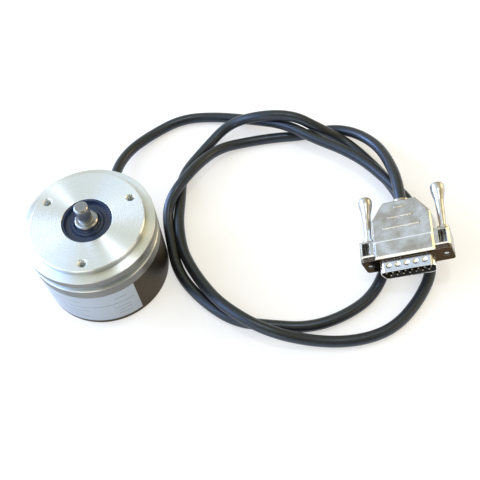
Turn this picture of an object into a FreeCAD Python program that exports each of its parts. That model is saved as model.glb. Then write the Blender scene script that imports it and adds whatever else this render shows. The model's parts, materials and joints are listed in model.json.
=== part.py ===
import FreeCAD, Part
import math
import os

# Incremental rotary encoder with a synchro flange, a radial cable and a 15-way D plug.
# Millimetres. The origin is the centre of the base, +Z runs along the shaft and the
# cable leaves along +Y.

V = FreeCAD.Vector
Z_AXIS = V(0, 0, 1)

# Flange and housing
housing_height = 42.0
rim_d = 58.0
collar_d = 50.0
collar_height = 3.0
rim_height = 4.0
groove_depth = 2.5
groove_height = 3.5
lip_height = 5.5
edge_chamfer = 0.4
spigot_height = 4.0
spigot_wall = 2.6
cover_step = 0.2
cover_wall = 1.6
cover_floor = 2.0
cover_foot_chamfer = 0.8
spigot_gap = 0.05

# Tapped holes in the face
face_hole_pcd = 42.0
face_hole_count = 3
face_hole_start = 30.0
tap_drill_d = 3.3
face_hole_depth = 6.0
face_hole_chamfer = 0.35

# Shaft
shaft_tip_d = 6.0
shaft_tip_reach = 10.3
shaft_journal_d = 10.0
shaft_shoulder_d = 12.0
shaft_shoulder_height = 0.9
shaft_step_above_face = 1.2
shaft_tail_stick = 0.3
shaft_chamfer = 0.5

# Bearings, two of 10 x 19 x 5
bearing_od = 19.0
bearing_width = 5.0
ball_d = 2.38
ball_count = 8
ball_gap = 0.02
ring_land = 0.7
cage_wall = 1.0
cage_width = 3.4
cage_pocket_gap = 0.1
bearing_web = 1.0
bearing_web_bore = 16.0
spacer_length = 5.0
spacer_wall = 1.3
hub_wall = 2.0
circlip_width = 1.1
circlip_depth = 0.6
circlip_reach = 1.3
circlip_gap_deg = 50.0
circlip_land = 1.0
journal_land = 0.6
fit_gap = 0.02

# How far a cutting shape runs past the face that it cuts
past = 1.0

# Shaft seal
seal_d = 22.0
seal_depth = 4.0
seal_sink = 0.3
seal_lip_gap = 0.05
seal_bead = 0.9
seal_web = 1.6
seal_edge = 0.3
seal_slope = 0.6
seal_rise = 0.7

# Cover ring seal
o_ring_d = 1.16
o_ring_groove_width = 1.9
o_ring_gap = 0.03

# Code disc and optics
disc_edge = 1.6
disc_thickness = 1.0
hub_r = 6.5
hub_collar_height = 1.0
hub_height = 4.0
hub_gap = 0.2
disc_seat_r = 4.5
hub_bore_gap = 0.02
hub_screw_r = 0.9
hub_screw_rise = 1.0
hub_screw_sink = 0.2
led_side_gap = 0.4
optic_gap = 0.5
led_block = (5.0, 6.0)
led_r = 1.5
led_length = 4.0
sensor_size = (5.0, 6.0, 2.0)
reticle_size = (4.0, 5.0, 0.5)

# Circuit board and its pillars
board_edge_gap = 0.4
board_thickness = 1.6
pillar_edge = 0.6
pillar_r = 2.2
stud_r = 1.25
stud_length = 4.0
stud_gap = 0.05
chip_size = (6.0, 4.0, 1.5)
chip_places = ((-10.0, 4.0), (-10.0, -5.0), (3.0, -13.0))
header_size = (9.0, 5.0, 5.0)
header_edge = 5.2
wire_r = 0.45
wire_pitch = 1.05
wire_columns = 4

# Cover screws
cover_screw_r = 1.25
cover_screw_head_r = 2.6
cover_screw_head_height = 1.4
cover_screw_sink = 0.15
cover_screw_length = 7.0
cover_screw_gap = 0.05
cover_screw_hole_gap = 0.1
cover_screw_end_gap = 0.3
hex_key_flats = 1.5
hex_key_depth = 0.8

# Label
label_thickness = 0.08
label_from_deg = -51.7
label_span_deg = 165.0
label_low = 3.0
label_margin = 0.5

# Cable and its gland
cable_d = 5.2
cable_gap = 0.06
gland_boss_r = 5.6
gland_pad_step = 0.6
gland_thread_r = 4.0
gland_thread_gap = 0.1
gland_flats = 11.0
gland_flange = 3.0
gland_front_r = 4.5
gland_front = 3.4
gland_nut_gap = 0.3
gland_nut_length = 5.5
gland_nut_taper = 3.0
gland_nose_wall = 1.9
gland_nose_bevel = 0.4
gland_locknut_flats = 10.0
gland_locknut = 2.0
grommet_wall = 1.0
cable_tail_in = 0.4

# Plug: place and pose of the middle of the mating flange's front
plug_at = V(137.1, -14.0, 16.4)
plug_yaw = -1.6
plug_tilt = 4.3
plug_bank = 21.0

# Plug: mating half
ear_pitch = 33.32
flange_size = (39.2, 12.5)
plate_thickness = 0.8
flange_corner = 1.6
ear_hole_r = 1.6
d_width = 25.0
d_height = 8.36
d_side_deg = 10.0
d_corner = 2.4
d_reach = 5.5
shell_wall = 0.45
dimple_count = 5
dimple_pitch = 3.9
dimple_r = 2.2
dimple_depth = 0.4
back_d_width = 22.9
back_d_height = 8.8
back_reach = 4.0
insulator_gap = 0.05
insulator_front = 1.2
insulator_back = 5.6
pin_r = 0.51
pin_pitch = 2.77
pin_row_pitch = 2.84
pin_reach = 5.2
pin_cup_r = 0.85
pin_cup_length = 3.4
pin_gap = 0.04
pin_rows = ((8, 0.5), (7, -0.5))

# Plug: hood
hood_half_width = 13.1
hood_straight = 18.9
hood_length = 26.9
hood_rear_half_width = 7.3
hood_half_height = 7.4
hood_wall = 1.5
hood_bevel = 0.9
hood_seam_gap = 0.05
lug_length = 10.0
lug_half_height = 6.5
lug_slot = (3.3, 6.0)
lug_slot_front = 2.8
pocket_gap = 0.1
neck_r = 4.1
neck_length = 2.5
hood_step_y = 8.0
hood_step = 0.3
grip_ribs = ((14.0, 8.4), (18.9, 5.8), (23.6, 2.4))
grip_rib_width = 1.2
grip_rib_height = 0.6
grip_rib_bevel = 0.25
hood_boss_r = 2.0
hood_boss_at = (8.6, 20.0)
hood_screw_r = 1.0
hood_screw_gap = 0.06
hood_screw_head_r = 1.8
hood_screw_head = 1.3
hood_screw_sink = 0.1
hood_screw_end_gap = 1.0
hood_hole_end_gap = 0.5
hood_screw_slot = (0.5, 0.6)
clamp_size = (11.0, 3.0)
clamp_y = 22.7
clamp_gap = 0.1

# Plug: thumbscrews
thumb_thread_r = 1.4
thumb_tip_back = 0.3
thumb_tip_chamfer = 0.4
thumb_channel_gap = 0.08
thumb_ring_r = 2.9
thumb_ring_width = 1.3
thumb_ring_bore_gap = 0.04
thumb_ring_clear = 0.3
thumb_collar_r = 2.6
thumb_collar_width = 1.2
thumb_waist_r = 1.5
thumb_neck_r = 2.0
thumb_waist_length = 13.0
thumb_grip_r = 3.15
thumb_grip_taper = 5.2
thumb_grip_length = 4.0
thumb_grip_round = 2.0

# The cable's points between the gland and the plug, along the table
cable_first_y = 47.0
cable_points = [
    (5.5, 65, 4.6), (18.5, 78, 2.7), (34, 87, 2.7), (52, 87, 2.7), (71.5, 82, 4),
    (88.5, 72.5, 8.8), (102.5, 63, 8.8), (115.5, 55.5, 8.8), (127.5, 47.5, 8.6), (136.5, 35, 8.8),
    (145, 20.5, 8.8), (150, 4, 6), (150, -13, 3.6), (141.5, -27.5, 2.7), (129, -40, 2.7),
    (113, -45, 2.7), (94, -44.5, 3.4), (73, -40.5, 8.8), (54.5, -27.5, 8.8), (43, -9.5, 5.7),
    (35.5, 10.5, 2.7), (34.5, 30, 2.7), (34, 49, 2.7), (46, 65.5, 2.7), (59, 78.5, 6.4),
    (76, 77, 12.9), (92.5, 75.5, 12.6), (104, 69.5, 8.8), (117.5, 65.5, 3), (126.5, 54.5, 2.7),
    (135.5, 39.5, 2.7), (137, 18.5, 2.7), (131.5, -4.5, 2.7), (122.5, -23.5, 2.7), (108, -33, 2.7),
    (92, -37.5, 2.7), (75.5, -35.5, 2.7), (60.5, -33, 2.7), (47.5, -22.5, 2.7), (36.5, -8.5, 2.7),
    (30.5, 8.5, 2.8), (28, 24.5, 4.8), (33.5, 38.5, 9), (43.5, 52, 8.8), (54, 64, 4.8),
    (67.5, 69, 2.7), (82.5, 71.5, 2.7), (97.5, 71.5, 2.7), (111.5, 73.5, 2.9), (123, 68.5, 5.5),
    (132.5, 57.5, 9.5), (137, 43.5, 14),
]
cable_arc_share = 0.45
cable_end_in_plug = 20.5
cable_lead_in_plug = 18.0

# Heights and radii that follow from the sizes above
rim_r = rim_d / 2
collar_r = collar_d / 2
groove_r = rim_r - groove_depth
cover_r = rim_r - cover_step
cover_in_r = cover_r - cover_wall
spigot_r = cover_in_r - spigot_gap
rim_top = housing_height - collar_height
groove_top = rim_top - rim_height
groove_low = groove_top - groove_height
joint_z = groove_low - lip_height
spigot_low = joint_z - spigot_height

seal_floor = housing_height - seal_depth
front_bearing_top = seal_floor - bearing_web
front_bearing_low = front_bearing_top - bearing_width
rear_bearing_top = front_bearing_low - spacer_length
rear_bearing_low = rear_bearing_top - bearing_width
circlip_low = rear_bearing_low - circlip_width
bearing_hub_low = circlip_low - circlip_land
bearing_hub_r = bearing_od / 2 + hub_wall
bearing_seat_r = bearing_od / 2 + fit_gap
journal_r = shaft_journal_d / 2
ball_r = ball_d / 2
ball_circle_r = (bearing_od / 2 + journal_r) / 2

shaft_top = housing_height + shaft_tip_reach
shaft_step = housing_height + shaft_step_above_face
journal_low = circlip_low - journal_land
tip_r = shaft_tip_d / 2

hub_top = journal_low - hub_gap
hub_low = hub_top - hub_height
shaft_low = hub_low - shaft_tail_stick
disc_top = hub_top - hub_collar_height
disc_low = disc_top - disc_thickness
reticle_top = disc_low - optic_gap
sensor_top = reticle_top - reticle_size[2]
board_top = sensor_top - sensor_size[2]
board_low = board_top - board_thickness
led_low = disc_top + optic_gap
track_r = bearing_hub_r + led_side_gap + led_block[0] / 2
disc_r = track_r + disc_edge

cable_r = cable_d / 2
gland_face_y = rim_r
gland_flange_y = gland_face_y + gland_flange
gland_front_y = gland_flange_y + gland_front
gland_nut_y = gland_flange_y + gland_nut_gap
gland_mouth_y = gland_nut_y + gland_nut_length
gland_pad_y = cover_in_r - gland_pad_step
locknut_y = gland_pad_y - gland_locknut
board_r = locknut_y - board_edge_gap
pillar_circle_r = board_r - pillar_edge - pillar_r
header_y = board_r - header_edge - header_size[1] / 2
gland_z = (cover_floor + board_low) / 2
cable_tail_y = gland_pad_y + cable_tail_in

shell_inner = (d_width - 2 * shell_wall, d_height - 2 * shell_wall)
back_inner = (back_d_width - 2 * shell_wall, back_d_height - 2 * shell_wall)
pocket_back = 2 * plate_thickness + pocket_gap
ear_x = ear_pitch / 2
insulator_end = plate_thickness + insulator_back
lug_half_width = flange_size[0] / 2


def revolved(points):
    """A solid turned about Z from (radius, height) points."""
    wire = Part.makePolygon([V(r, 0, z) for r, z in points + points[:1]])
    return Part.Face(wire).revolve(V(0, 0, 0), Z_AXIS, 360)


def tube(outer_r, inner_r, low, high):
    """A plain ring about Z."""
    return revolved([(inner_r, low), (outer_r, low), (outer_r, high), (inner_r, high)])


def cylinder(r, low, high, x=0.0, y=0.0):
    """An upright cylinder."""
    return Part.makeCylinder(r, high - low, V(x, y, low))


def block(low, high):
    """A box between two corners."""
    return Part.makeBox(high[0] - low[0], high[1] - low[1], high[2] - low[2], V(*low))


def hexagon(flats, low, high):
    """A hexagonal prism about Z."""
    corner = flats / 2 / math.cos(math.pi / 6)
    angles = [k * math.pi / 3 for k in range(6)]
    return prism([(corner * math.cos(a), corner * math.sin(a)) for a in angles], low, high)


def prism(points, low, high):
    """An upright prism on (x, y) points."""
    ring = [V(x, y, low) for x, y in points + points[:1]]
    return Part.Face(Part.makePolygon(ring)).extrude(V(0, 0, high - low))


def along_y(shape, x=0.0, z=0.0):
    """Lay a shape that was made about Z along +Y, through (x, z)."""
    turned = shape.copy()
    laid = FreeCAD.Placement(V(x, 0, z), FreeCAD.Rotation(V(1, 0, 0), -90))
    turned.Placement = laid.multiply(turned.Placement)
    return turned


def round_circle(count, start_deg, r):
    """Evenly spaced (x, y) places on a circle about Z."""
    for k in range(count):
        angle = math.radians(start_deg + 360.0 * k / count)
        yield r * math.cos(angle), r * math.sin(angle)


def pillar_places():
    return list(round_circle(3, face_hole_start, pillar_circle_r))


def save(name, *solids):
    """Write one node: a solid, or a group of separate solids."""
    shape = solids[0] if len(solids) == 1 else Part.makeCompound(list(solids))
    shape.exportStep("parts/" + name + ".step")


# Housing

def flange():
    """Synchro flange: collar, rim, clamp groove, lip, cover spigot and bearing hub."""
    c = edge_chamfer
    o_ring_z = spigot_low + spigot_height / 2
    o_floor = spigot_r - o_ring_d
    body = revolved([
        (bearing_web_bore / 2, seal_floor), (seal_d / 2, seal_floor), (seal_d / 2, housing_height),
        (collar_r - c, housing_height), (collar_r, housing_height - c), (collar_r, rim_top),
        (rim_r - c, rim_top), (rim_r, rim_top - c), (rim_r, groove_top + c), (rim_r - c, groove_top),
        (groove_r, groove_top), (groove_r, groove_low), (rim_r - c, groove_low), (rim_r, groove_low - c),
        (rim_r, joint_z), (spigot_r, joint_z),
        (spigot_r, o_ring_z + o_ring_groove_width / 2), (o_floor, o_ring_z + o_ring_groove_width / 2),
        (o_floor, o_ring_z - o_ring_groove_width / 2), (spigot_r, o_ring_z - o_ring_groove_width / 2),
        (spigot_r, spigot_low), (spigot_r - spigot_wall, spigot_low), (spigot_r - spigot_wall, joint_z),
        (bearing_hub_r, joint_z), (bearing_hub_r, bearing_hub_low), (bearing_seat_r, bearing_hub_low),
        (bearing_seat_r, front_bearing_top), (bearing_web_bore / 2, front_bearing_top),
    ])
    body = body.cut(tube(bearing_od / 2 + circlip_depth, journal_r, circlip_low, rear_bearing_low))
    drill_r = tap_drill_d / 2
    hole_floor = housing_height - face_hole_depth
    for x, y in round_circle(face_hole_count, face_hole_start, face_hole_pcd / 2):
        body = body.cut(cylinder(drill_r, hole_floor, housing_height + past, x, y))
        sink = Part.makeCone(drill_r, drill_r + face_hole_chamfer, face_hole_chamfer,
                             V(x, y, housing_height - face_hole_chamfer))
        body = body.cut(sink)
    for x, y in pillar_places():
        body = body.cut(cylinder(stud_r + stud_gap, joint_z - past, joint_z + stud_length + stud_gap, x, y))
    return body


def rear_cover():
    """Turned cup over the electronics, with a boss for the cable gland."""
    c = cover_foot_chamfer
    cup = revolved([
        (0, 0), (cover_r - c, 0), (cover_r, c), (cover_r, joint_z), (cover_in_r, joint_z),
        (cover_in_r, cover_floor), (0, cover_floor),
    ])
    boss = along_y(cylinder(gland_boss_r, gland_pad_y, gland_face_y), 0, gland_z)
    hole = cylinder(gland_thread_r + gland_thread_gap, gland_pad_y - past, gland_face_y + past)
    cup = cup.fuse(boss).cut(along_y(hole, 0, gland_z))
    head_r = cover_screw_head_r + cover_screw_gap
    shank_r = cover_screw_r + cover_screw_hole_gap
    for x, y in pillar_places():
        cup = cup.cut(cylinder(shank_r, -past, cover_floor + past, x, y))
        cup = cup.cut(cylinder(head_r, -past, cover_screw_sink, x, y))
        sink = Part.makeCone(head_r, shank_r, cover_screw_head_height, V(x, y, cover_screw_sink))
        cup = cup.cut(sink)
    return cup.removeSplitter()


def label():
    """Thin printed film round part of the cover."""
    high = joint_z - label_margin
    section = Part.makePolygon([
        V(cover_r, 0, label_low), V(cover_r + label_thickness, 0, label_low),
        V(cover_r + label_thickness, 0, high), V(cover_r, 0, high), V(cover_r, 0, label_low),
    ])
    film = Part.Face(section).revolve(V(0, 0, 0), Z_AXIS, label_span_deg)
    film.rotate(V(0, 0, 0), Z_AXIS, label_from_deg - label_span_deg)
    return film


def cover_o_ring():
    """Round cord in the spigot's groove."""
    floor_r = spigot_r - o_ring_d
    minor = (cover_in_r - floor_r) / 2 - o_ring_gap
    return Part.makeTorus((cover_in_r + floor_r) / 2, minor, V(0, 0, spigot_low + spigot_height / 2))


def cover_screws():
    """Countersunk screws up into the lower pillars."""
    for x, y in pillar_places():
        head_top = cover_screw_sink + cover_screw_head_height
        foot = V(x, y, cover_screw_sink)
        head = Part.makeCone(cover_screw_head_r, cover_screw_r, cover_screw_head_height, foot)
        shank = cylinder(cover_screw_r, head_top, cover_screw_length, x, y)
        key = hexagon(hex_key_flats, 0, cover_screw_sink + hex_key_depth)
        key.translate(V(x, y, 0))
        yield head.fuse(shank).cut(key).removeSplitter()


# Rotor

def shaft():
    """Stepped steel shaft: tip, journal with a locating shoulder, tail for the disc."""
    c = shaft_chamfer
    shoulder_top = front_bearing_top + shaft_shoulder_height
    body = revolved([
        (0, shaft_low), (tip_r - c, shaft_low), (tip_r, shaft_low + c), (tip_r, journal_low),
        (journal_r, journal_low), (journal_r, front_bearing_top), (shaft_shoulder_d / 2, front_bearing_top),
        (shaft_shoulder_d / 2, shoulder_top), (journal_r, shoulder_top), (journal_r, shaft_step - c),
        (journal_r - c, shaft_step), (tip_r, shaft_step), (tip_r, shaft_top - c), (tip_r - c, shaft_top),
        (0, shaft_top),
    ])
    return body.cut(tube(journal_r + past, journal_r - circlip_depth, circlip_low, rear_bearing_low))


def race(shape, low):
    """Cut the ball groove into a bearing ring that stands on the given height."""
    groove = Part.makeTorus(ball_circle_r, ball_r + ball_gap, V(0, 0, low + bearing_width / 2))
    return shape.cut(groove)


def outer_ring(low):
    land = ball_circle_r + ring_land
    return race(tube(bearing_od / 2, land, low, low + bearing_width), low)


def inner_ring(low):
    land = ball_circle_r - ring_land
    return race(tube(land, journal_r + fit_gap, low, low + bearing_width), low)


def balls(low):
    for x, y in round_circle(ball_count, 0, ball_circle_r):
        yield Part.makeSphere(ball_r, V(x, y, low + bearing_width / 2))


def cage(low):
    """Ribbon that keeps the balls apart."""
    middle = low + bearing_width / 2
    ribbon = tube(ball_circle_r + cage_wall / 2, ball_circle_r - cage_wall / 2,
                  middle - cage_width / 2, middle + cage_width / 2)
    for x, y in round_circle(ball_count, 0, bearing_od):
        pocket = Part.makeCylinder(ball_r + cage_pocket_gap, bearing_od, V(0, 0, middle), V(x, y, 0))
        ribbon = ribbon.cut(pocket)
    return ribbon


def outer_spacer():
    outer_r = bearing_od / 2
    return tube(outer_r, outer_r - spacer_wall, rear_bearing_top, front_bearing_low)


def inner_spacer():
    return tube(journal_r + fit_gap + spacer_wall, journal_r + fit_gap, rear_bearing_top, front_bearing_low)


def open_ring(outer_r, inner_r):
    """Retaining ring under the rear bearing, open on one side."""
    ring = tube(outer_r, inner_r, circlip_low + fit_gap, rear_bearing_low)
    half = math.radians(circlip_gap_deg / 2)
    far = outer_r * 2
    side = far * math.tan(half)
    wedge = prism([(0, 0), (far, -side), (far, side)], circlip_low - past, rear_bearing_low + past)
    return ring.cut(wedge)


def bore_circlip():
    outer_r = bearing_od / 2 + circlip_depth - fit_gap
    return open_ring(outer_r, outer_r - circlip_reach)


def shaft_circlip():
    inner_r = journal_r - circlip_depth + fit_gap
    return open_ring(inner_r + circlip_reach, inner_r)


def shaft_seal():
    """Rubber lip seal: outer bead, sunk web, inner bead and lip on the journal."""
    outer = seal_d / 2 - fit_gap
    inner = journal_r + seal_lip_gap
    top = housing_height - seal_sink
    web_top = top - seal_web
    bead = seal_bead
    return revolved([
        (inner, seal_floor), (outer, seal_floor), (outer, top - seal_edge), (outer - seal_edge, top),
        (outer - bead, top), (outer - bead - seal_slope, web_top), (inner + 2 * bead + seal_slope, web_top),
        (inner + 2 * bead, web_top + seal_rise), (inner + bead, web_top + seal_rise),
        (inner + bead - seal_edge, web_top + seal_edge), (inner, web_top + seal_rise + seal_edge),
    ])


def disc_hub():
    """Collar clamped on the shaft's tail, with the seat for the code disc."""
    bore = tip_r + hub_bore_gap
    hub = revolved([
        (bore, hub_low), (disc_seat_r, hub_low), (disc_seat_r, disc_top), (hub_r, disc_top),
        (hub_r, hub_top), (bore, hub_top),
    ])
    hole = Part.makeCylinder(hub_screw_r + hub_bore_gap, hub_r, V(0, 0, hub_low + hub_screw_rise), V(1, 0, 0))
    return hub.cut(hole)


def hub_screw():
    """Grub screw from the hub's side to the shaft."""
    start = tip_r + hub_bore_gap
    length = disc_seat_r - hub_screw_sink - start
    return Part.makeCylinder(hub_screw_r, length, V(start, 0, hub_low + hub_screw_rise), V(1, 0, 0))


def code_disc():
    return tube(disc_r, disc_seat_r + hub_bore_gap, disc_low, disc_top)


# Optics and electronics

def led_holder():
    """Block on the flange's underside that looks down through the disc."""
    half_x, half_y = led_block[0] / 2, led_block[1] / 2
    body = block((track_r - half_x, -half_y, led_low), (track_r + half_x, half_y, joint_z))
    return body.cut(cylinder(led_r + stud_gap, led_low - past, led_low + led_length + stud_gap, track_r))


def led():
    """Emitter with a domed lower end."""
    dome_z = led_low + led_r
    lens = Part.makeSphere(led_r, V(track_r, 0, dome_z))
    return cylinder(led_r, dome_z, led_low + led_length, track_r).fuse(lens).removeSplitter()


def centred(size, x, y, low):
    """A box of the given size, centred on (x, y), standing on the given height."""
    half_x, half_y = size[0] / 2, size[1] / 2
    return block((x - half_x, y - half_y, low), (x + half_x, y + half_y, low + size[2]))


def circuit_board():
    board = cylinder(board_r, board_low, board_top)
    for x, y in pillar_places():
        board = board.cut(cylinder(stud_r + stud_gap, board_low - past, board_top + past, x, y))
    return board


def driver_chips():
    for x, y in chip_places:
        yield centred(chip_size, x, y, board_top)


def wire_header():
    return centred(header_size, 0, header_y, board_low - header_size[2])


def signal_wires():
    """Cores from the cable's end to the header, two rows."""
    start_y = header_y + header_size[1] / 2
    for row in (-0.5, 0.5):
        for k in range(wire_columns):
            x = (k - (wire_columns - 1) / 2) * wire_pitch
            wire = cylinder(wire_r, start_y, cable_tail_y)
            yield along_y(wire, x, gland_z + row * wire_pitch)


def upper_pillars():
    """Spacers from the board up into the flange."""
    for x, y in pillar_places():
        stud = cylinder(stud_r, joint_z, joint_z + stud_length, x, y)
        body = cylinder(pillar_r, board_top, joint_z, x, y).fuse(stud)
        yield body.cut(cylinder(stud_r + stud_gap, board_top - past, board_top + stud_length + stud_gap, x, y))


def lower_pillars():
    """Spacers from the cover's floor up through the board."""
    for x, y in pillar_places():
        stud = cylinder(stud_r, board_low, board_top + stud_length, x, y)
        body = cylinder(pillar_r, cover_floor, board_low, x, y).fuse(stud)
        hole_r, hole_top = cover_screw_r + cover_screw_gap, cover_screw_length + cover_screw_end_gap
        yield body.cut(cylinder(hole_r, cover_floor - past, hole_top, x, y))


# Cable outlet

def gland_body():
    """Threaded body through the cover's boss, with a hexagon and a front thread."""
    body = cylinder(gland_thread_r, locknut_y, gland_face_y)
    body = body.fuse(hexagon(gland_flats, gland_face_y, gland_flange_y))
    body = body.fuse(cylinder(gland_front_r, gland_flange_y, gland_front_y))
    body = body.cut(cylinder(cable_r + cable_gap, locknut_y - past, gland_front_y + past))
    seat = cylinder(cable_r + cable_gap + grommet_wall, gland_flange_y, gland_front_y + past)
    return along_y(body.cut(seat).removeSplitter(), 0, gland_z)


def gland_locknut_piece():
    nut = hexagon(gland_locknut_flats, locknut_y, gland_pad_y)
    hole = cylinder(gland_thread_r + fit_gap, locknut_y - past, gland_pad_y + past)
    return along_y(nut.cut(hole), 0, gland_z)


def gland_grommet():
    outer = cable_r + cable_gap + grommet_wall - fit_gap
    return along_y(tube(outer, cable_r + cable_gap, gland_flange_y, gland_front_y), 0, gland_z)


def gland_nut():
    """Cap nut over the front thread, hexagon with a turned nose."""
    corner = gland_flats / 2 / math.cos(math.pi / 6)
    nose_r = cable_r + gland_nose_wall
    turned = revolved([
        (0, gland_nut_y), (corner, gland_nut_y), (corner, gland_mouth_y - gland_nut_taper),
        (nose_r, gland_mouth_y - gland_nose_bevel), (nose_r - gland_nose_bevel, gland_mouth_y),
        (0, gland_mouth_y),
    ])
    nut = hexagon(gland_flats, gland_nut_y, gland_mouth_y).common(turned)
    nut = nut.cut(cylinder(gland_front_r + fit_gap, gland_nut_y - past, gland_front_y + fit_gap))
    nut = nut.cut(cylinder(cable_r + cable_gap, gland_nut_y - past, gland_mouth_y + past))
    return along_y(nut, 0, gland_z)


# Plug

plug_turn = FreeCAD.Rotation(Z_AXIS, plug_yaw)
plug_turn = plug_turn.multiply(FreeCAD.Rotation(V(1, 0, 0), plug_tilt))
plug_turn = plug_turn.multiply(FreeCAD.Rotation(V(0, 1, 0), -plug_bank))
plug_place = FreeCAD.Placement(plug_at, plug_turn)


def on_plug(shape):
    """Move a piece from the plug's own frame (X along the ears, Y to the rear) to its place."""
    moved = shape.copy()
    moved.Placement = plug_place.multiply(moved.Placement)
    return moved


def edges_to_rear(solid):
    """The edges of a solid that run along the plug's Y."""
    return [e for e in solid.Edges if abs(abs(e.tangentAt(e.FirstParameter).y) - 1) < 1e-6]


def edges_at(solid, height):
    """The edges of a solid that lie at one height."""
    return [e for e in solid.Edges if all(abs(v.Z - height) < 1e-6 for v in e.Vertexes)]


def d_prism(width, height, front, back, corner=d_corner):
    """D-shaped prism along Y, its wide side up."""
    slope = math.tan(math.radians(d_side_deg))
    top, low = height / 2, -height / 2
    wide, narrow = width / 2, width / 2 - height * slope
    corners = [(-wide, top), (wide, top), (narrow, low), (-narrow, low), (-wide, top)]
    ring = Part.makePolygon([V(x, front, z) for x, z in corners])
    solid = Part.Face(ring).extrude(V(0, back - front, 0))
    return solid.makeFillet(corner, edges_to_rear(solid))


def flange_plate(front):
    """Plate with rounded corners and two ear holes."""
    half_x, half_z = flange_size[0] / 2, flange_size[1] / 2
    plate = block((-half_x, front, -half_z), (half_x, front + plate_thickness, half_z))
    plate = plate.makeFillet(flange_corner, edges_to_rear(plate))
    for x in (-ear_x, ear_x):
        plate = plate.cut(along_y(cylinder(ear_hole_r, front - past, front + plate_thickness + past), x))
    return plate


def front_shell():
    """Mating shell: D-shaped skirt on the front plate, its wall pressed in to dimples above and below."""
    skirt = d_prism(d_width, d_height, -d_reach, plate_thickness)
    shell = flange_plate(0).fuse(skirt)
    shell = shell.cut(d_prism(*shell_inner, -d_reach - past, plate_thickness + past, d_corner - shell_wall))
    lift = d_height / 2 + dimple_r - dimple_depth
    for k in range(dimple_count):
        x = (k - (dimple_count - 1) / 2) * dimple_pitch
        for z in (lift, -lift):
            middle = V(x, -d_reach / 2, z)
            bulge = Part.makeSphere(dimple_r + shell_wall, middle).common(skirt)
            shell = shell.fuse(bulge).cut(Part.makeSphere(dimple_r, middle))
    return shell.removeSplitter()


def rear_shell():
    """Back plate with a shorter skirt round the insulator."""
    back = 2 * plate_thickness
    skirt = d_prism(back_d_width, back_d_height, plate_thickness, back + back_reach)
    hole = d_prism(*back_inner, plate_thickness - past, back + back_reach + past, d_corner - shell_wall)
    return flange_plate(plate_thickness).fuse(skirt).cut(hole).removeSplitter()


def pin_places():
    for count, row in pin_rows:
        for k in range(count):
            yield (k - (count - 1) / 2) * pin_pitch, row * pin_row_pitch


def insulator():
    """Moulded block that fills both shells and carries the pins."""
    g = 2 * insulator_gap
    corner = d_corner - shell_wall
    front = d_prism(shell_inner[0] - g, shell_inner[1] - g, -insulator_front, plate_thickness, corner)
    back = d_prism(back_inner[0] - g, back_inner[1] - g, plate_thickness, insulator_end, corner)
    body = front.fuse(back)
    for x, z in pin_places():
        hole = cylinder(pin_r + pin_gap, -insulator_front - past, insulator_end + past)
        body = body.cut(along_y(hole, x, z))
    return body.removeSplitter()


def contact_pins():
    """Round pins with a solder cup behind the insulator."""
    for x, z in pin_places():
        body = revolved([
            (0, -pin_reach), (pin_r / 2, -pin_reach), (pin_r, -pin_reach + pin_r), (pin_r, insulator_end),
            (pin_cup_r, insulator_end), (pin_cup_r, insulator_end + pin_cup_length),
            (0, insulator_end + pin_cup_length),
        ])
        yield along_y(body, x, z)


def core_wires():
    """Cores from the cable's end to the upper row of solder cups."""
    count, row = pin_rows[0]
    cup_y = insulator_end + pin_cup_length
    room = block((-ear_x, cup_y, -hood_half_height), (ear_x, cable_end_in_plug, hood_half_height))
    for k in range(count):
        end = V((k - (count - 1) / 2) * pin_pitch, cup_y, row * pin_row_pitch)
        column, level = k // 2 - (wire_columns - 1) / 2, 0.5 - k % 2
        run = V(column * wire_pitch, cable_end_in_plug, level * wire_pitch).sub(end)
        yield Part.makeCylinder(wire_r, run.Length, end, run).common(room)


def hood_outline(inset):
    """Plan of the hood: straight sides that taper to the cable entry."""
    lean = math.atan2(hood_half_width - hood_rear_half_width, hood_length - hood_straight)
    half, length = hood_half_width - inset, hood_length - inset
    straight = hood_straight - inset * math.tan(lean / 2)
    rear = hood_rear_half_width - inset * (1 - math.sin(lean)) / math.cos(lean)
    front = pocket_back if inset else 0.0
    right = [(half, front), (half, straight), (rear, length)]
    return right + [(-x, y) for x, y in reversed(right)]


def bevelled(solid, high, size=hood_bevel):
    """Bevel the edges of a prism's top face."""
    return solid.makeChamfer(size, edges_at(solid, high))


def hood_half():
    """One half of the hood as the upper one: walls, lugs, connector pocket and cable neck."""
    high, low = hood_half_height, hood_seam_gap / 2
    half = bevelled(prism(hood_outline(0), low, high), high)
    inner = hood_half_width - 2 * hood_bevel
    for side in (-1, 1):
        near, far = sorted((side * inner, side * lug_half_width))
        lug = block((near, pocket_back, low), (far, lug_length, lug_half_height))
        half = half.fuse(bevelled(lug, lug_half_height))
    neck_front, neck_back = hood_length - 2 * hood_wall, hood_length + neck_length
    half = half.fuse(along_y(cylinder(neck_r, hood_length - hood_wall, neck_back)))
    half = half.cut(block((-neck_r, neck_front, -neck_r), (neck_r, neck_back + past, low)))
    half = half.cut(prism(hood_outline(hood_wall), low - past, high - hood_wall))
    reach, pocket = lug_half_width + past, flange_size[1] / 2 + pocket_gap
    half = half.cut(block((-reach, -past, low - past), (reach, pocket_back, pocket)))
    half = half.cut(along_y(cylinder(cable_r + cable_gap, neck_front, neck_back + past)))
    slot_side, slot_back = lug_slot[0] / 2, lug_slot_front + lug_slot[1]
    channel_r = thumb_thread_r + thumb_channel_gap
    for x in (-ear_x, ear_x):
        slot = block((x - slot_side, lug_slot_front, low - past), (x + slot_side, slot_back, high + past))
        half = half.cut(slot)
        half = half.cut(along_y(cylinder(channel_r, 0, lug_length + past), x))
    x, y = hood_boss_at
    for side in (-1, 1):
        half = half.fuse(cylinder(hood_boss_r, low, high - hood_wall, side * x, y))
    return half


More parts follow.
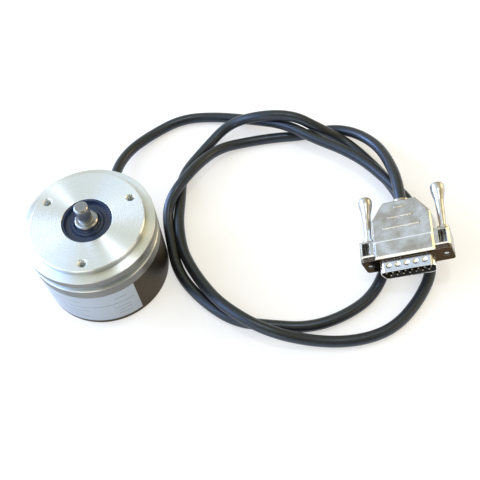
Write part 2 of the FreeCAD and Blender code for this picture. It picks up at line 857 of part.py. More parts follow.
def grip_rib(y, half_length, low):
    """Raised bar with round ends across the hood."""
    r = grip_rib_width / 2
    high = low + grip_rib_height
    sunk = low - hood_wall / 2
    bar = block((-half_length + r, y - r, sunk), (half_length - r, y + r, high))
    for side in (-1, 1):
        bar = bar.fuse(cylinder(r, sunk, high, side * (half_length - r), y))
    return bevelled(bar.removeSplitter(), high, grip_rib_bevel)


def hood_top():
    """Upper half: a front band, then a step down to the part with the grip ribs."""
    half = hood_half()
    high = hood_half_height
    grip_top = high - hood_step
    side = hood_half_width
    half = half.cut(block((-side, hood_step_y, grip_top), (side, hood_length + past, high + past)))
    for rib_y, half_length in grip_ribs:
        half = half.fuse(grip_rib(rib_y, half_length, grip_top))
    x, y = hood_boss_at
    hole_top = high - hood_wall - hood_hole_end_gap
    for side in (-1, 1):
        half = half.cut(cylinder(hood_screw_r + hood_screw_gap, -past, hole_top, side * x, y))
    return half.removeSplitter()


def hood_bottom():
    """Lower half, with the holes for the hood screws."""
    half = hood_half()
    x, y = hood_boss_at
    head_low, high = hood_half_height - hood_screw_head, hood_half_height + past
    for side in (-1, 1):
        half = half.cut(cylinder(hood_screw_r + hood_screw_gap, -past, high, side * x, y))
        half = half.cut(cylinder(hood_screw_head_r + hood_screw_gap, head_low, high, side * x, y))
    half.rotate(V(0, 0, 0), V(0, 1, 0), 180)
    return half.removeSplitter()


def hood_screws():
    """Screws from below through the lower half into the upper one."""
    head_low = -hood_half_height + hood_screw_sink
    head_top = -hood_half_height + hood_screw_head
    shank_top = hood_half_height - hood_wall - hood_screw_end_gap
    slot_width, slot_depth = hood_screw_slot
    slot_size = (2 * hood_screw_head_r + past, slot_width, past + slot_depth)
    for x in (-hood_boss_at[0], hood_boss_at[0]):
        y = hood_boss_at[1]
        head = cylinder(hood_screw_head_r, head_low, head_top, x, y)
        shank = cylinder(hood_screw_r, head_top, shank_top, x, y)
        slot = centred(slot_size, x, y, head_low - past)
        yield head.fuse(shank).cut(slot).removeSplitter()


def cable_clamp():
    """Block between the halves that grips the sheath."""
    half_x, half_y = clamp_size[0] / 2, clamp_size[1] / 2
    half_z = hood_half_height - hood_wall - clamp_gap
    body = block((-half_x, clamp_y - half_y, -half_z), (half_x, clamp_y + half_y, half_z))
    return body.cut(along_y(cylinder(cable_r + cable_gap, clamp_y - half_y - past, clamp_y + half_y + past)))


ring_front = lug_length + thumb_ring_clear
collar_front = ring_front + thumb_ring_width + fit_gap
waist_front = collar_front + thumb_collar_width
grip_front = waist_front + thumb_waist_length
grip_back = grip_front + thumb_grip_taper + thumb_grip_length


def thumbscrew(side):
    """Long thumbscrew beside the hood: thread, collar, slender waist and rounded grip."""
    thread, collar, tip = thumb_thread_r, thumb_collar_r, thumb_tip_chamfer
    body = revolved([
        (0, thumb_tip_back), (thread - tip, thumb_tip_back), (thread, thumb_tip_back + tip),
        (thread, collar_front), (collar, collar_front), (collar, waist_front), (thumb_waist_r, waist_front),
        (thumb_neck_r, grip_front), (thumb_grip_r, grip_front + thumb_grip_taper), (thumb_grip_r, grip_back),
        (0, grip_back),
    ])
    return along_y(body.makeFillet(thumb_grip_round, edges_at(body, grip_back)), side * ear_x)


def thumb_ring(side):
    """Retaining ring on the thumbscrew behind the lug."""
    bore = thumb_thread_r + thumb_ring_bore_gap
    return along_y(tube(thumb_ring_r, bore, ring_front, ring_front + thumb_ring_width), side * ear_x)


# Cable

def beside_cover(x, y, z):
    """A point of the route, moved straight out where a wider cover would reach it."""
    out = max(1.0, (cover_r + cable_r) / math.hypot(x, y))
    return V(x * out, y * out, z)


def cable_route():
    """All points of the cable's route, from inside the cover to inside the hood."""
    start = [V(0, cable_tail_y, gland_z), V(0, cable_first_y, gland_z)]
    middle = [beside_cover(*p) for p in cable_points]
    lead = plug_place.multVec(V(0, cable_end_in_plug + cable_lead_in_plug, 0))
    return start + middle + [lead, plug_place.multVec(V(0, cable_end_in_plug, 0))]


def cable():
    """Round sheath swept along straight runs joined by tangent arcs."""
    route = cable_route()
    edges = []
    last = route[0]
    for before, at, after in zip(route, route[1:], route[2:]):
        back, ahead = before.sub(at), after.sub(at)
        half_turn = (math.pi - back.getAngle(ahead)) / 2
        reach = cable_arc_share * min(back.Length, ahead.Length)
        radius = reach / math.tan(half_turn)
        back.normalize()
        ahead.normalize()
        start, end = at.add(back * reach), at.add(ahead * reach)
        inward = back.add(ahead).normalize()
        middle = at.add(inward * (radius / math.cos(half_turn) - radius))
        edges.append(Part.LineSegment(last, start).toShape())
        edges.append(Part.Arc(start, middle, end).toShape())
        last = end
    edges.append(Part.LineSegment(last, route[-1]).toShape())
    path = Part.Wire(edges)
    ring = Part.Wire(Part.makeCircle(cable_r, route[0], V(0, 1, 0)))
    return path.makePipeShell([ring], True, False)


def main():
    os.makedirs("parts", exist_ok=True)
    save("flange", flange())
    save("rear_cover", rear_cover())
    save("label", label())
    save("cover_o_ring", cover_o_ring())
    save("cover_screws", *cover_screws())
    save("shaft", shaft())
    for name, low in (("front", front_bearing_low), ("rear", rear_bearing_low)):
        save(name + "_bearing_outer_ring", outer_ring(low))
        save(name + "_bearing_inner_ring", inner_ring(low))
        save(name + "_bearing_cage", cage(low))
        save(name + "_bearing_balls", *balls(low))
    save("outer_spacer", outer_spacer())
    save("inner_spacer", inner_spacer())
    save("bore_circlip", bore_circlip())
    save("shaft_circlip", shaft_circlip())
    save("shaft_seal", shaft_seal())
    save("disc_hub", disc_hub())
    save("hub_screw", hub_screw())
    save("code_disc", code_disc())
    save("led_holder", led_holder())
    save("led", led())
    save("sensor_chip", centred(sensor_size, track_r, 0, board_top))
    save("reticle", centred(reticle_size, track_r, 0, sensor_top))
    save("circuit_board", circuit_board())
    save("driver_chips", *driver_chips())
    save("wire_header", wire_header())
    save("signal_wires", *signal_wires())
    save("upper_pillars", *upper_pillars())
    save("lower_pillars", *lower_pillars())
    save("gland_body", gland_body())
    save("gland_locknut", gland_locknut_piece())
    save("gland_grommet", gland_grommet())
    save("gland_nut", gland_nut())
    save("cable", cable())
    save("front_shell", on_plug(front_shell()))
    save("rear_shell", on_plug(rear_shell()))
    save("insulator", on_plug(insulator()))
    save("contact_pins", *[on_plug(p) for p in contact_pins()])
    save("core_wires", *[on_plug(w) for w in core_wires()])
    save("hood_top", on_plug(hood_top()))
    save("hood_bottom", on_plug(hood_bottom()))
    save("hood_screws", *[on_plug(s) for s in hood_screws()])
    save("cable_clamp", on_plug(cable_clamp()))
    for name, side in (("left", -1), ("right", 1)):
        save(name + "_thumbscrew", on_plug(thumbscrew(side)))
        save(name + "_thumb_ring", on_plug(thumb_ring(side)))


main()
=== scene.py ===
"""Looks of an incremental rotary encoder: turned aluminium, ground steel, a PVC cable and a plated D plug."""
import json
import math

import bmesh
import bpy
from mathutils import Matrix, Vector


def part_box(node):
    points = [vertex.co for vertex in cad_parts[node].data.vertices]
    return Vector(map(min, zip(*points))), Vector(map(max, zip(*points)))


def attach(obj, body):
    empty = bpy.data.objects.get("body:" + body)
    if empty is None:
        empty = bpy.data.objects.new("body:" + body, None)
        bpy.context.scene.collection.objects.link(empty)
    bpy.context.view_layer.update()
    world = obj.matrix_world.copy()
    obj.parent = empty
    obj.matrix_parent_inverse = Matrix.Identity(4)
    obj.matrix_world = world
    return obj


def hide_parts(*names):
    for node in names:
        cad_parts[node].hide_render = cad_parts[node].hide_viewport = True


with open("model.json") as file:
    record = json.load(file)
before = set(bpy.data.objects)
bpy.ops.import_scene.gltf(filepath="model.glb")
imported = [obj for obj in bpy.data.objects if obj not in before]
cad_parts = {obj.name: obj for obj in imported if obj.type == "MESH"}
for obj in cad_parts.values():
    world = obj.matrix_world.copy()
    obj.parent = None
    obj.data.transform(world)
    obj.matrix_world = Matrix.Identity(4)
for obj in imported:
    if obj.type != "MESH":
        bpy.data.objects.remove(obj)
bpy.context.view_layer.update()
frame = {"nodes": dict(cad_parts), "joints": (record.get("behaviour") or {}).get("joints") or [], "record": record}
nodes = frame["nodes"]
MM = 0.001

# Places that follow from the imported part, in metres. The plug's own frame starts at the middle of its
# flange plate's front, and the joints of its screws stand screw_joint_y behind that
face_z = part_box("flange")[1].z
label_low, label_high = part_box("label")
gland_low, gland_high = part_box("gland_nut")
gland_z = (gland_low.z + gland_high.z) / 2
joint_of = {joint["name"]: joint for joint in frame["joints"]}
plug_back = Vector(joint_of["left_screw_turn"]["axis"])
ear_left = Vector(joint_of["left_screw_turn"]["pos_m"])
ear_right = Vector(joint_of["right_screw_turn"]["pos_m"])
plug_right = (ear_right - ear_left).normalized()
plug_up = plug_right.cross(plug_back)
screw_joint_y = 15.0 * MM
plug_at = (ear_left + ear_right) / 2 - plug_back * screw_joint_y

# Camera of the photograph: where it stands in millimetres, how it is turned in degrees, its focal length
# and the nearest thing that it sees in millimetres
camera_at = Vector((78.84, -162.02, 288.25))
camera_pitch = 58.90
camera_heading = 5.29
camera_roll = -7.78
camera_lens = 52.5
camera_near = 10

# Cable, in millimetres: its points were set along the strands that the photograph shows. It starts inside the
# cover and ends inside the hood
cable_diameter = 5.2
cable_points = [
    (5.5, 65, 4.6), (18.5, 78, 2.7), (34, 87, 2.7), (52, 87, 2.7), (71.5, 82, 4),
    (88.5, 73.3, 9.3), (102.5, 63, 8.8), (115.5, 55.5, 8.8), (126.5, 46.5, 8.6), (135.7, 34.2, 8.8),
    (145, 20.5, 8.8), (150, 4, 6), (150, -13, 3.6), (141.5, -27.5, 2.7), (129, -40, 2.7),
    (113, -45, 2.7), (94, -44.5, 3.4), (73, -40.5, 8.8), (54.5, -27.5, 8.8), (44, -12.5, 5.4),
    (36.4, 2.5, 3.2), (34, 14, 2.9), (33.2, 24, 2.8), (34, 35, 2.7), (34.5, 49.5, 2.7),
    (46, 65.5, 2.7), (59, 78.5, 6.4), (76, 76.4, 14), (92.5, 74.8, 14), (104, 69.5, 10),
    (117.5, 65.5, 3), (126.5, 55, 2.7), (135.5, 41, 2.7), (142, 27, 2.7), (141.5, 8, 2.7),
    (131.7, -5, 2.7), (122.5, -23.5, 2.7), (108, -33, 2.7), (92, -37.5, 2.7), (75.5, -35.5, 2.7),
    (60.5, -33, 2.7), (48.5, -24.5, 2.7), (38, -13.2, 2.7), (32.6, -2.5, 2.7), (30.3, 9.5, 2.8),
    (28.1, 21, 3.6), (28.7, 30, 6), (33.5, 38.5, 9), (43.5, 52, 8.8), (54, 64, 4.8),
    (67.5, 68.4, 2.7), (82.5, 70.2, 2.7), (97.5, 70.4, 2.7), (111.5, 73.5, 2.9), (123, 68.5, 5.5),
    (132, 57.2, 9.5), (136.2, 43.3, 14),
]
cable_tail_y = 27.0
cable_first_y = 47.0
cable_end_in_plug = 20.5
cable_lead_in_plug = 18.0
cable_curve_order = 3
cable_run_steps = 10
cable_round_steps = 10

# Label round the cover: where its middle faces and how far it goes round in degrees, its radius and its
# bare border in millimetres
label_middle = -134.2
label_sweep = 165.0
label_r = 28.88
label_arc = math.radians(label_sweep) * label_r
label_inset = 1.3

# Rules printed on the label, in millimetres: a long one, and pairs of short ones (share of the printed
# height, length). The first of a pair starts near the middle; the second, half as long, ends near the end
rule_half_height = 0.15
long_rule_share = 0.6
short_rules = ((0.82, 12), (0.42, 15), (0.28, 11), (0.14, 13))
short_rule_start = 4
short_rule_margin = 3

# Plug, in its own frame, in millimetres: where the pins' tips end, the hood's step and how wide a painted
# highlight runs along its top, a height just clear of the lugs beside the hood, half the height of the D skirt and
# how far below its top a dimple begins, and where the skirt gives way to its flange plate
pin_tip_y = -5.0
hood_step_y = 8.0
step_highlight_width = 0.5
clear_of_lugs = 6.8
skirt_half_height = 4.18
dimple_from = 0.03
plate_y = -0.3

# Tapped holes of the face and the threads of the plug's screws, in millimetres and degrees: a ridge's foot
# is given as a share of its pitch to either side, and edges sharper than sharp_from stay sharp
hole_circle_r = 21.0
hole_r = 1.65
hole_azimuths = (30, 150, 270)
hole_thread_depth = 0.7
hole_thread = {"pitch": 0.7, "length": 4.9, "root_r": hole_r + 0.02, "crest_r": hole_r - 0.2}
screw_thread_y = 1.9
screw_thread = {"pitch": 0.64, "length": 8.0, "root_r": 1.36, "crest_r": 1.54}
ridge_foot = 0.4
thread_steps = 24
sharp_from = 25

# Tapered shoulder between the collar and the rim, in millimetres
shoulder_in_r = 25.0
shoulder_out_r = 28.95
shoulder_z = 39.0
shoulder_rise = 0.26
shoulder_bend_r = 27.2
shoulder_bend_rise = 0.18
shoulder_sink = 0.03
shoulder_steps = 180

# Edge wear and painted edge highlight, and turning: sizes in millimetres, then how much rougher the rim is and the
# smudges' share in gloss
scuff_mm = 1.2
smudge_mm = 9
rim_blend = 0.15
rim_rougher = 0.1
smudge_share = 0.4

# Studio: what the lamps look at in millimetres, half the floor's side in metres, how far its white is lifted
# where it is seen, the window's azimuth and elevation in degrees, and the strength of the room's light
lamp_target = Vector((60, 15, 10))
floor_half = 3.0
floor_lift = 0.5
window_at = (150, 40)
room_strength = 1.08

# Lamps: azimuth and elevation in degrees, distance in metres, width and height in metres, colour, watts
lamps = (
    ("ceiling_lamp", 46, 85, 0.9, (0.07, 0.07), "#f4f8ff", 1.1),
    ("window_middle", 160, 24, 0.9, (0.4, 0.3), "#d6e5ff", 2.6),
    ("window_high", 172, 38, 0.9, (0.3, 0.3), "#e2ecff", 1.2),
    ("window_low", 161, 9, 0.9, (0.6, 0.16), "#9cc2ff", 7.0),
    ("window_left", 202, 33, 0.9, (0.5, 0.8), "#a4c8ff", 4.2),
    ("warm_wall_right", 20, 26, 0.8, (0.3, 0.3), "#ffdfa8", 1.3),
    ("warm_wall_front", -25, 28, 0.8, (0.5, 0.25), "#ffe6c0", 0.9),
    ("front_fill", -108, 16, 0.9, (0.5, 0.3), "#ffffff", 1.2),
)


def on_plug(x, y, z):
    """A point of the plug's own frame (millimetres: along the ears, to the rear, up) in metres."""
    return plug_at + (plug_right * x + plug_back * y + plug_up * z) * MM


def make_camera():
    """The photograph's camera."""
    data = bpy.data.cameras.new("camera")
    data.lens = camera_lens
    data.clip_start = camera_near * MM
    camera = bpy.data.objects.new("camera", data)
    bpy.context.scene.collection.objects.link(camera)
    heading = Matrix.Rotation(math.radians(camera_heading), 4, "Z")
    pitch = Matrix.Rotation(math.radians(90 - camera_pitch), 4, "X")
    roll = Matrix.Rotation(math.radians(camera_roll), 4, "Z")
    camera.matrix_world = Matrix.Translation(camera_at * MM) @ heading @ pitch @ roll
    bpy.context.scene.camera = camera


# Cable

def cable_route():
    """The route's points in metres."""
    start = [Vector((0, y * MM, gland_z)) for y in (cable_tail_y, cable_first_y)]
    middle = [Vector(p) * MM for p in cable_points]
    end = [on_plug(0, cable_end_in_plug + cable_lead_in_plug, 0), on_plug(0, cable_end_in_plug, 0)]
    return start + middle + end


def make_cable(material):
    """One smooth line with a round section, in place of the CAD tube."""
    curve = bpy.data.curves.new("cable_sheath", "CURVE")
    curve.dimensions = "3D"
    curve.bevel_depth = cable_diameter / 2 * MM
    curve.bevel_resolution = cable_round_steps
    curve.resolution_u = cable_run_steps
    curve.use_fill_caps = True
    route = cable_route()
    spline = curve.splines.new("NURBS")
    spline.points.add(len(route) - 1)
    for point, place in zip(spline.points, route):
        point.co = (*place, 1.0)
    spline.order_u = cable_curve_order
    spline.use_endpoint_u = True
    curve.materials.append(material)
    cable = bpy.data.objects.new("cable_sheath", curve)
    bpy.context.scene.collection.objects.link(cable)
    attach(cable, "housing")
    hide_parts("cable")


# Materials

def linear(hex_colour):
    """Linear RGBA of an sRGB hex colour."""
    channels = [int(hex_colour[i:i + 2], 16) / 255 for i in (1, 3, 5)]
    return [c / 12.92 if c <= 0.04045 else ((c + 0.055) / 1.055) ** 2.4 for c in channels] + [1.0]


def scale_of(size_mm):
    """Scale that draws a pattern's features this many millimetres wide."""
    return 1 / (size_mm * MM)


def add(tree, kind, inputs=None, **settings):
    """Add a shader node with its settings; an input takes a value or another node's output."""
    made = tree.nodes.new("ShaderNode" + kind)
    for name, value in settings.items():
        setattr(made, name, value)
    for name, value in (inputs or {}).items():
        if isinstance(value, bpy.types.NodeSocket):
            tree.links.new(value, made.inputs[name])
        else:
            made.inputs[name].default_value = value
    return made


def start_material(name):
    """An empty material and its node tree."""
    material = bpy.data.materials.new(name)
    material.use_nodes = True
    material.node_tree.nodes.clear()
    return material, material.node_tree


def surface(tree, inputs):
    """Close a material with its surface."""
    shader = add(tree, "BsdfPrincipled", inputs)
    add(tree, "OutputMaterial", {"Surface": shader.outputs["BSDF"]})


def axis_distance(tree, here):
    """How far a spot lies from the encoder's axis and how high, both in metres."""
    apart = add(tree, "SeparateXYZ", {"Vector": here})
    flat = add(tree, "CombineXYZ", {"X": apart.outputs["X"], "Y": apart.outputs["Y"]})
    radius = add(tree, "VectorMath", {"Vector": flat.outputs["Vector"]}, operation="LENGTH")
    return radius.outputs["Value"], apart.outputs["Z"]


def tool_marks(tree, radius, height, feed_mm):
    """Rings left by a turning tool: a value that only changes outwards from the axis and along it."""
    across = add(tree, "CombineXYZ", {"X": radius, "Y": height})
    noise = add(tree, "TexNoise", {
        "Vector": across.outputs["Vector"], "Scale": scale_of(feed_mm), "Detail": 3.0,
    }, noise_dimensions="2D")
    return noise.outputs["Fac"]


def edges_with_wear_and_highlight(tree, here, radius_mm):
    """Edges rounded over a small radius, and how far a spot is on one, broken up by noise; callers lighten these
    edges, partly as wear and partly as a painted highlight.
    """
    round_off = add(tree, "Bevel", {"Radius": radius_mm * MM}, samples=6)
    flat = add(tree, "NewGeometry")
    agree = add(tree, "VectorMath", {
        0: round_off.outputs["Normal"], 1: flat.outputs["Normal"],
    }, operation="DOT_PRODUCT")
    scuff = add(tree, "TexNoise", {"Vector": here, "Scale": scale_of(scuff_mm), "Detail": 3.0})
    edge = add(tree, "MapRange", {"Value": agree.outputs["Value"], "From Min": 0.99, "From Max": 0.85})
    wear_and_highlight = add(tree, "Math", {0: edge.outputs["Result"], 1: scuff.outputs["Fac"]}, operation="MULTIPLY")
    return round_off.outputs["Normal"], wear_and_highlight.outputs["Value"]


def beyond(tree, here, axis, limit_mm):
    """1 where a spot lies further along one of the plug's axes than a limit, 0 elsewhere."""
    out = add(tree, "VectorMath", {0: here, 1: plug_at}, operation="SUBTRACT")
    along = add(tree, "VectorMath", {0: out.outputs["Vector"], 1: axis}, operation="DOT_PRODUCT")
    over = add(tree, "Math", {0: along.outputs["Value"], 1: limit_mm * MM}, operation="GREATER_THAN")
    return over.outputs["Value"]


def turned_metal(name, faced, turned, rough, feed_mm, groove_mm, anisotropy, rim_from_mm=0.0,
                 rim_groove_mm=0.0):
    """Metal turned on a lathe. Its rings stretch each highlight across themselves, so a flat face shows bright
    wedges that meet at the axis. Upright walls further out than rim_from_mm take the turned tones, a painted
    reflection of the room, and the rest takes the faced tones. Further out than rim_from_mm the tool ran coarser:
    the surface is rougher there, and its grooves are rim_groove_mm deeper. Real feed marks are 0.05 to 0.1 mm
    apart; they are drawn coarser to show in the render."""
    edge_mm = 0.3
    material, tree = start_material(name)
    here = add(tree, "TexCoord").outputs["Object"]
    radius, height = axis_distance(tree, here)
    marks = tool_marks(tree, radius, height, feed_mm)
    rounded, wear_and_highlight = edges_with_wear_and_highlight(tree, here, edge_mm)
    smudge = add(tree, "TexNoise", {"Vector": here, "Scale": scale_of(smudge_mm), "Detail": 3.0})
    looks = add(tree, "SeparateXYZ", {"Vector": add(tree, "NewGeometry").outputs["Normal"]})
    upright = add(tree, "Math", {0: looks.outputs["Z"]}, operation="ABSOLUTE")
    wall = add(tree, "MapRange", {"Value": upright.outputs["Value"], "From Min": 0.8, "From Max": 0.4})
    outer = add(tree, "MapRange", {
        "Value": radius,
        "From Min": (rim_from_mm - rim_blend) * MM, "From Max": (rim_from_mm + rim_blend) * MM,
    }).outputs["Result"]
    side = add(tree, "Math", {0: wall.outputs["Result"], 1: outer}, operation="MULTIPLY")
    face_tone = add(tree, "Mix", {
        "Factor": marks, "A": linear(faced[0]), "B": linear(faced[1]),
    }, data_type="RGBA")
    # Tone of upright walls: a painted reflection of the room.
    wall_tone_painted_reflection = add(tree, "Mix", {
        "Factor": marks, "A": linear(turned[0]), "B": linear(turned[1]),
    }, data_type="RGBA")
    tone = add(tree, "Mix", {
        "Factor": side.outputs["Value"], "A": face_tone.outputs["Result"], "B": wall_tone_painted_reflection.outputs["Result"],
    }, data_type="RGBA")
    # Edges lightened towards near white: partly wear, partly a painted highlight.
    colour = add(tree, "Mix", {
        "Factor": wear_and_highlight, "A": tone.outputs["Result"], "B": linear("#f2f2f0"),
    }, data_type="RGBA")
    spread = add(tree, "Mix", {"Factor": smudge_share, "A": marks, "B": smudge.outputs["Fac"]})
    fine = add(tree, "MapRange", {
        "Value": spread.outputs["Result"], "From Min": 0.25, "From Max": 0.75,
        "To Min": rough[0], "To Max": rough[1],
    })
    roughness = add(tree, "Math", {
        0: outer, 1: rim_rougher, 2: fine.outputs["Result"],
    }, operation="MULTIPLY_ADD")
    depth = add(tree, "Math", {
        0: outer, 1: rim_groove_mm * MM, 2: groove_mm * MM,
    }, operation="MULTIPLY_ADD")
    bump = add(tree, "Bump", {"Height": marks, "Distance": depth.outputs["Value"], "Normal": rounded})
    tangent = add(tree, "Tangent", direction_type="RADIAL", axis="Z")
    surface(tree, {
        "Base Color": colour.outputs["Result"], "Metallic": 1.0, "Roughness": roughness.outputs["Value"],
        "Anisotropic": anisotropy, "Anisotropic Rotation": 0.25, "Tangent": tangent.outputs["Tangent"],
        "Normal": bump.outputs["Normal"],
    })
    return material


def moulded_nitrile():
    """Nitrile rubber from a polished mould: dark blue, lighter and darker in patches, with a soft sheen."""
    blue_patch_mm = 1.5
    depth_mm = 0.02
    material, tree = start_material("moulded_nitrile_rubber")
    here = add(tree, "TexCoord").outputs["Object"]
    blue_patches = add(tree, "TexNoise", {"Vector": here, "Scale": scale_of(blue_patch_mm), "Detail": 4.0})
    colour = add(tree, "Mix", {
        "Factor": blue_patches.outputs["Fac"], "A": linear("#121f35"), "B": linear("#253a5a"),
    }, data_type="RGBA")
    rough = add(tree, "MapRange", {"Value": blue_patches.outputs["Fac"], "To Min": 0.22, "To Max": 0.4})
    bump = add(tree, "Bump", {"Height": blue_patches.outputs["Fac"], "Distance": depth_mm * MM})
    surface(tree, {
        "Base Color": colour.outputs["Result"], "Roughness": rough.outputs["Result"], "IOR": 1.52,
        "Normal": bump.outputs["Normal"],
    })
    return material


def label_rules():
    """Printed rules as (middle along the film, middle height, half length), in millimetres."""
    low, high = label_low.z / MM + label_inset, label_high.z / MM - label_inset
    end = label_arc / 2 - label_inset
    rules = [(0, low + long_rule_share * (high - low), end)]
    for share, length in short_rules:
        height = low + share * (high - low)
        rules.append((short_rule_start + length / 2, height, length / 2))
        rules.append((end - short_rule_margin - length / 4, height, length / 4))
    return rules


def printed_label_film():
    """Silver-white polyester film: a faint satin shimmer, thin printed rules and nothing else."""
    satin_mm = 0.8
    material, tree = start_material("printed_polyester_film")
    here = add(tree, "TexCoord").outputs["Object"]
    turned = add(tree, "Mapping", {"Vector": here, "Rotation": (0, 0, -math.radians(label_middle))})
    apart = add(tree, "SeparateXYZ", {"Vector": turned.outputs["Vector"]})
    angle = add(tree, "Math", {0: apart.outputs["Y"], 1: apart.outputs["X"]}, operation="ARCTAN2")
    along = add(tree, "Math", {0: angle.outputs["Value"], 1: label_r * MM}, operation="MULTIPLY")
    ink = 0.0
    for u, z, half_length in label_rules():
        in_length = add(tree, "Math", {
            0: along.outputs["Value"], 1: u * MM, 2: half_length * MM,
        }, operation="COMPARE")
        in_height = add(tree, "Math", {
            0: apart.outputs["Z"], 1: z * MM, 2: rule_half_height * MM,
        }, operation="COMPARE")
        ink = add(tree, "Math", {
            0: in_length.outputs["Value"], 1: in_height.outputs["Value"], 2: ink,
        }, operation="MULTIPLY_ADD", use_clamp=True).outputs["Value"]
    satin = add(tree, "TexNoise", {"Vector": here, "Scale": scale_of(satin_mm), "Detail": 2.0})
    film = add(tree, "Mix", {
        "Factor": satin.outputs["Fac"], "A": linear("#a2aebb"), "B": linear("#b6c0cb"),
    }, data_type="RGBA")
    colour = add(tree, "Mix", {
        "Factor": ink, "A": film.outputs["Result"], "B": linear("#59606b"),
    }, data_type="RGBA")
    rough = add(tree, "MapRange", {"Value": satin.outputs["Fac"], "To Min": 0.3, "To Max": 0.42})
    surface(tree, {
        "Base Color": colour.outputs["Result"], "Roughness": rough.outputs["Result"], "IOR": 1.58,
        "Metallic": 0.3,
    })
    return material


def extruded_pvc():
    """PVC sheath, extruded smooth: near black, with a broad sheen and faint handling marks. Its waxy skin has a
    stronger sheen than bare PVC, hence the high IOR; the sheen's cool tint is a painted reflection of bluish
    window light. The die's fine grain is drawn coarser to show in the render."""
    cloud_mm = 6
    grain_mm = 0.5
    depth_mm = 0.015
    material, tree = start_material("extruded_pvc_sheath")
    here = add(tree, "TexCoord").outputs["Object"]
    cloud = add(tree, "TexNoise", {"Vector": here, "Scale": scale_of(cloud_mm), "Detail": 3.0})
    grain = add(tree, "TexNoise", {"Vector": here, "Scale": scale_of(grain_mm), "Detail": 2.0})
    colour = add(tree, "Mix", {
        "Factor": cloud.outputs["Fac"], "A": linear("#17191b"), "B": linear("#242628"),
    }, data_type="RGBA")
    rough = add(tree, "MapRange", {"Value": grain.outputs["Fac"], "To Min": 0.3, "To Max": 0.4})
    bump = add(tree, "Bump", {"Height": grain.outputs["Fac"], "Distance": depth_mm * MM})
    surface(tree, {
        "Base Color": colour.outputs["Result"], "Roughness": rough.outputs["Result"], "IOR": 1.7,
        "Specular Tint": linear("#c8dcfa"), "Normal": bump.outputs["Normal"],
    })
    return material


def plated_metal(name, dark, light, rough, cloud_mm, ripple_mm, depth_mm, highlit_step_y=None):
    """Metal with a smooth skin, plated or honed: the base shows through as a faint ripple and the skin clouds in
    patches of tone, which on the hood stand for a painted reflection of the room. Edges are lightened, partly as
    wear and partly as a painted highlight, and a painted highlight runs along the top of a step across the plug
    where one is given."""
    edge_mm = 0.25
    material, tree = start_material(name)
    here = add(tree, "TexCoord").outputs["Object"]
    rounded, wear_and_highlight = edges_with_wear_and_highlight(tree, here, edge_mm)
    cloud = add(tree, "TexNoise", {"Vector": here, "Scale": scale_of(cloud_mm), "Detail": 3.0})
    ripple = add(tree, "TexNoise", {"Vector": here, "Scale": scale_of(ripple_mm), "Detail": 2.0})
    # Patches of tone: random tarnish on most parts, a painted reflection of the room on the hood.
    tarnish_and_reflection_patch = add(tree, "MapRange", {"Value": cloud.outputs["Fac"], "From Min": 0.3, "From Max": 0.7})
    plating = add(tree, "Mix", {
        "Factor": tarnish_and_reflection_patch.outputs["Result"], "A": linear(dark), "B": linear(light),
    }, data_type="RGBA")
    if highlit_step_y is not None:
        # A painted highlight along the top of the step, added to the lightened edges.
        on_step = add(tree, "Math", {
            0: beyond(tree, here, plug_back, highlit_step_y - step_highlight_width), 1: beyond(tree, here, plug_back, highlit_step_y),
        }, operation="SUBTRACT")
        on_top = beyond(tree, here, plug_up, clear_of_lugs)
        wear_and_highlight = add(tree, "Math", {
            0: on_step.outputs["Value"], 1: on_top, 2: wear_and_highlight,
        }, operation="MULTIPLY_ADD").outputs["Value"]
    # Edges lightened towards near white: partly wear, partly a painted highlight.
    colour = add(tree, "Mix", {
        "Factor": wear_and_highlight, "A": plating.outputs["Result"], "B": linear("#f0f0ee"),
    }, data_type="RGBA")
    roughness = add(tree, "MapRange", {
        "Value": tarnish_and_reflection_patch.outputs["Result"], "To Min": rough[0], "To Max": rough[1],
    })
    bump = add(tree, "Bump", {"Height": ripple.outputs["Fac"], "Distance": depth_mm * MM, "Normal": rounded})
    surface(tree, {
        "Base Color": colour.outputs["Result"], "Metallic": 1.0, "Roughness": roughness.outputs["Result"],
        "Normal": bump.outputs["Normal"],
    })
    return material


